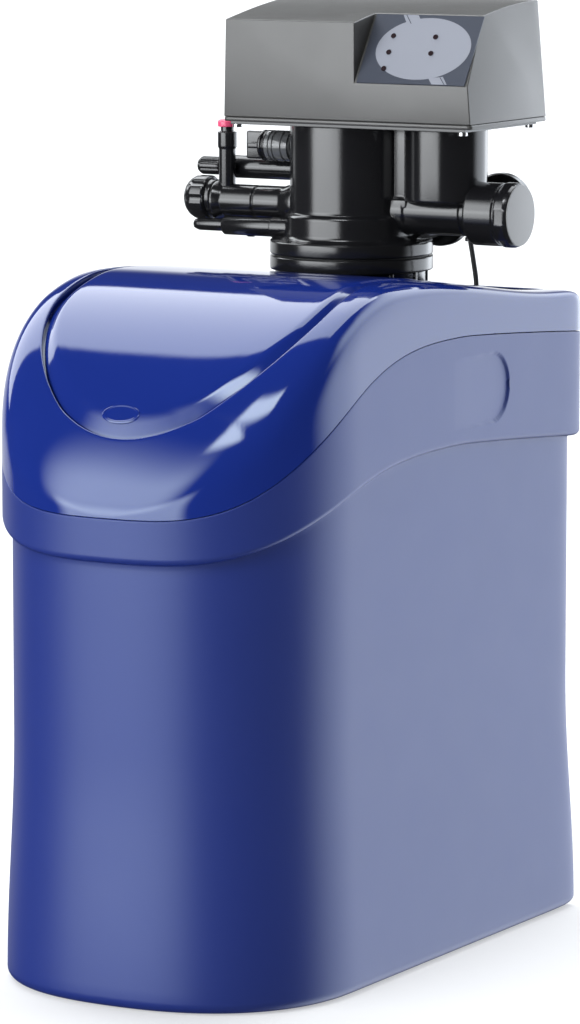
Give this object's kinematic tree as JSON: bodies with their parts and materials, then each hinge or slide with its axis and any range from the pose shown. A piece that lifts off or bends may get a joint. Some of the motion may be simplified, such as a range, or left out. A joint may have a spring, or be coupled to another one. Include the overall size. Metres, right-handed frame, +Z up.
{
  "type": "water softener",
  "caption": "Compact cabinet water softener with a hinged salt lid, resin tank, rotary valve with side fittings and a boxed control head.",
  "frame": {"origin": "centre of the bounding box on the floor under the cabinet", "axes": "+Z up, -Y towards the rounded front with the salt lid, +X to the right seen from the front"},
  "size_m": [0.249, 0.415, 0.607],
  "materials": {
    "blue_plastic": "gloss",
    "black_plastic": "satin gloss",
    "grey_plastic": "matte",
    "white_plastic": "matte",
    "clear_plastic": "clear",
    "red_plastic": "gloss",
    "steel": "bright",
    "rubber": "matte",
    "resin_beads": "matte",
    "label": "satin",
    "lens": "gloss",
    "board": "matte"
  },
  "bodies": {
    "cabinet": {"cabinet_tub": "blue_plastic", "top_cover": "blue_plastic", "well_plate": "black_plastic", "overflow_bush": "black_plastic", "overflow_nut": "black_plastic", "resin_tank": "black_plastic", "tank_boot": "black_plastic", "tank_adapter": "black_plastic", "valve_body": "black_plastic", "meter_cap": "black_plastic", "inlet_nut": "black_plastic", "outlet_nut": "black_plastic", "injector_body": "black_plastic", "vent_stem": "black_plastic", "drain_spigot": "black_plastic", "bowl_cap": "black_plastic", "head_base": "black_plastic", "level_probe": "black_plastic", "lead_gland": "black_plastic", "head_cover": "grey_plastic", "riser_tube": "white_plastic", "top_strainer": "white_plastic", "bottom_strainer": "white_plastic", "fixed_disc": "white_plastic", "brine_well": "white_plastic", "brine_well_cap": "white_plastic", "brine_valve": "white_plastic", "brine_tube": "white_plastic", "salt_grid": "white_plastic", "screen_bowl": "clear_plastic", "hinge_pin": "steel", "gear_motor": "steel", "meter_axle": "steel", "cover_screws": "steel", "float_rod": "steel", "flange_seal": "rubber", "probe_lead": "rubber", "lead_grommet": "rubber", "resin_bed": "resin_beads", "panel_label": "label", "indicator_lenses": "lens", "circuit_board": "board"},
    "lid": {"salt_lid": "blue_plastic", "lid_hinge_arms": "blue_plastic"},
    "rotor": {"rotor_disc": "white_plastic", "rotor_shaft": "white_plastic", "drive_gear": "white_plastic"},
    "pinion": {"motor_pinion": "white_plastic"},
    "turbine": {"flow_turbine": "white_plastic"},
    "mixing_knob": {"mixing_knob": "black_plastic"},
    "refill_adjuster": {"refill_adjuster": "black_plastic"},
    "vent_button": {"vent_button": "red_plastic"},
    "brine_float": {"float": "white_plastic"}
  },
  "joints": [
    {"name": "lid_hinge", "type": "hinge", "parent": "cabinet", "child": "lid", "pos_m": [0, 0.02, 0.42517], "axis": [-1, 0, 0], "range_deg": [0, 95]},
    {"name": "rotor_spin", "type": "hinge", "parent": "cabinet", "child": "rotor", "pos_m": [0, 0.1015, 0.5], "axis": [0, 0, 1], "continuous": true},
    {"name": "pinion_spin", "type": "hinge", "parent": "cabinet", "child": "pinion", "pos_m": [0.046, 0.1015, 0.5], "axis": [0, 0, 1], "continuous": true},
    {"name": "turbine_spin", "type": "hinge", "parent": "cabinet", "child": "turbine", "pos_m": [0, 0.1015, 0.4715], "axis": [1, 0, 0], "continuous": true},
    {"name": "mixing_turn", "type": "hinge", "parent": "cabinet", "child": "mixing_knob", "pos_m": [0, 0.1015, 0.474], "axis": [-1, 0, 0], "range_deg": [0, 270]},
    {"name": "refill_turn", "type": "hinge", "parent": "cabinet", "child": "refill_adjuster", "pos_m": [0, 0.1145, 0.494], "axis": [-1, 0, 0], "range_deg": [0, 270]},
    {"name": "vent_press", "type": "slide", "parent": "cabinet", "child": "vent_button", "axis": [0, 0, -1], "range_m": [0, 0.003], "stiffness_N_per_m": 150, "springref_m": -0.001},
    {"name": "float_rise", "type": "slide", "parent": "cabinet", "child": "brine_float", "axis": [0, 0, 1], "range_m": [0, 0.07]}
  ],
  "couplings": [
    {"joint": "pinion_spin", "follows": "rotor_spin", "ratio": -3.6}
  ]
}
